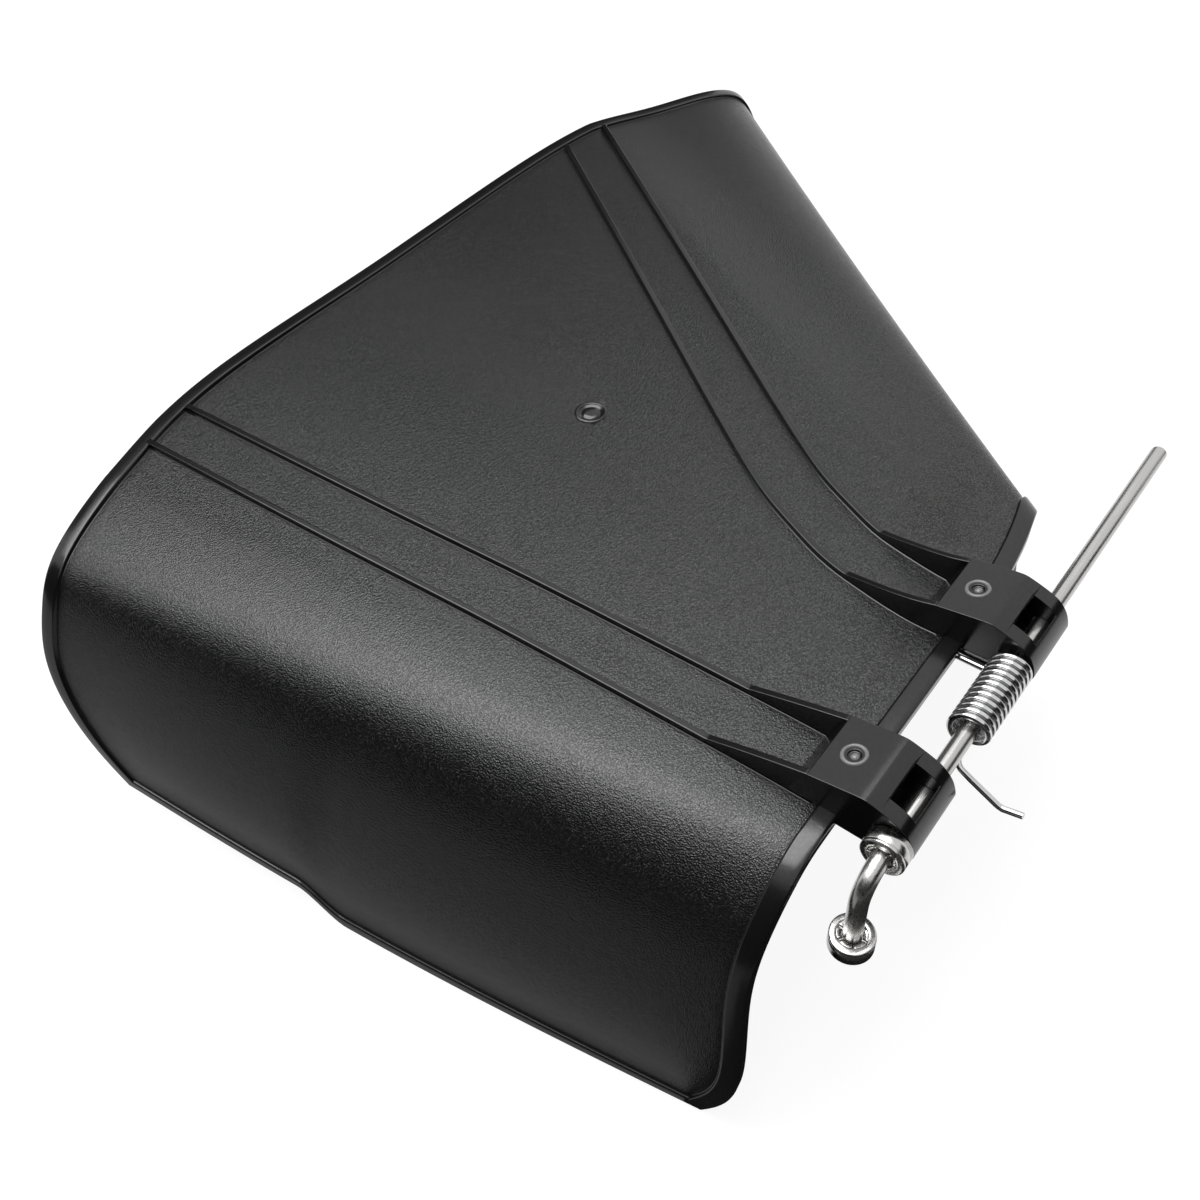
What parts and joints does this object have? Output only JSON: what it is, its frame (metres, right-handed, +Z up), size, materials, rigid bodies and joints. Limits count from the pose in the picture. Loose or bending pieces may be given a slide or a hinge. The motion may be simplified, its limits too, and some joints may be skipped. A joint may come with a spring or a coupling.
{
  "type": "mower deflector shield",
  "caption": "Moulded discharge deflector hood with ribbed hinge arms, a cranked hinge rod, push nuts and a torsion return spring.",
  "frame": {"origin": "on the hinge rod's axis, at the outer side face of the ear nearest the cranked end", "axes": "+X along the rod away from its cranked end, +Y from the rod over the hood, +Z up, square to the flat top"},
  "size_m": [0.4939, 0.3687, 0.1222],
  "materials": {
    "black_plastic": "fine grain, semi-matt",
    "zinc_rod": "zinc plated",
    "spring_wire": "bright plated wire",
    "zinc_nut_inner": "zinc plated",
    "zinc_nut_end": "zinc plated"
  },
  "bodies": {
    "hood": {"hood": "black_plastic", "torsion_spring": "spring_wire"},
    "rod": {"hinge_rod": "zinc_rod", "push_nut_inner": "zinc_nut_inner", "push_nut_end": "zinc_nut_end"}
  },
  "joints": [
    {"name": "rod_turn", "type": "hinge", "parent": "hood", "child": "rod", "pos_m": [0, 0, 0], "axis": [1, 0, 0], "range_deg": [-110, 50]}
  ]
}
